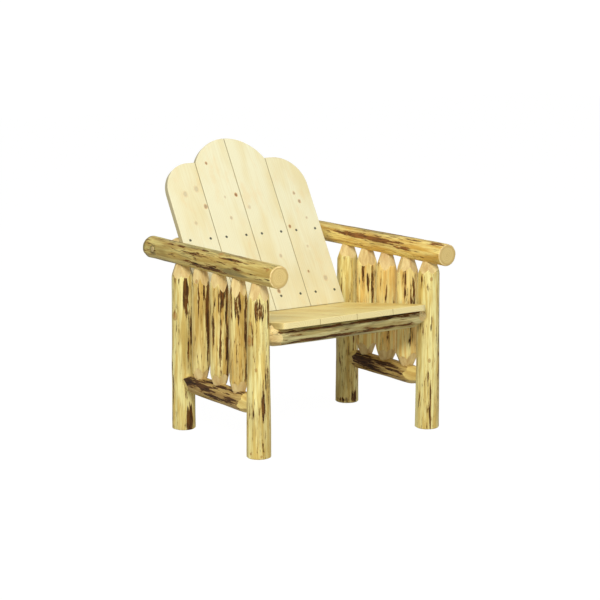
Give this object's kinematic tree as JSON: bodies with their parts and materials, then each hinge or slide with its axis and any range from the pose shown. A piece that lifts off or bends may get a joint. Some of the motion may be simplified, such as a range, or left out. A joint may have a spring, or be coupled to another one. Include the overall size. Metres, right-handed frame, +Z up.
{
  "type": "log armchair",
  "caption": "Rustic armchair of peeled round logs with tenon joints, a sloping board seat and a reclined board back with a scalloped crest.",
  "frame": {"origin": "on the floor, below the middle of the chair's bounding box", "axes": "+Z up, +X to the right as seen from the front, the seat's front faces -Y"},
  "size_m": [0.7358, 0.8348, 0.9046],
  "materials": {
    "post_log": "peeled softwood log, clear satin varnish, dark inner bark left in flecks",
    "arm_log_left": "peeled softwood log, clear satin varnish, grey-blue stain and bark flecks",
    "arm_log_right": "peeled softwood log, clear satin varnish, reddish-brown patch",
    "spindle_log": "peeled softwood pole, clear satin varnish, dark inner bark left in flecks",
    "stretcher_log": "peeled softwood log, clear satin varnish, much dark bark left",
    "rail_log": "peeled softwood log, clear satin varnish, dark streaks",
    "seat_board": "planed knotty pine board, clear satin varnish",
    "back_board": "planed knotty pine board, clear satin varnish",
    "plug": "face-grain wood plug, clear satin varnish",
    "deck_screw": "grey-green weather coating",
    "lag_screw": "zinc plated"
  },
  "bodies": {
    "root": {"arm_lag_screws": "lag_screw", "arm_left": "arm_log_left", "arm_plugs": "plug", "arm_right": "arm_log_right", "back_board_1": "back_board", "back_board_2": "back_board", "back_board_3": "back_board", "back_board_4": "back_board", "back_rail_lower": "rail_log", "back_rail_upper": "rail_log", "back_screws_lower": "deck_screw", "back_screws_upper": "deck_screw", "post_front_left": "post_log", "post_front_right": "post_log", "post_rear_left": "post_log", "post_rear_right": "post_log", "seat_board_1": "seat_board", "seat_board_2": "seat_board", "seat_board_3": "seat_board", "seat_board_4": "seat_board", "seat_rail_front": "rail_log", "seat_rail_rear": "rail_log", "seat_screws_front": "deck_screw", "seat_screws_rear": "deck_screw", "spindle_left_front": "spindle_log", "spindle_left_middle": "spindle_log", "spindle_left_rear": "spindle_log", "spindle_right_front": "spindle_log", "spindle_right_middle": "spindle_log", "spindle_right_rear": "spindle_log", "stretcher_left": "stretcher_log", "stretcher_right": "stretcher_log"}
  },
  "joints": []
}
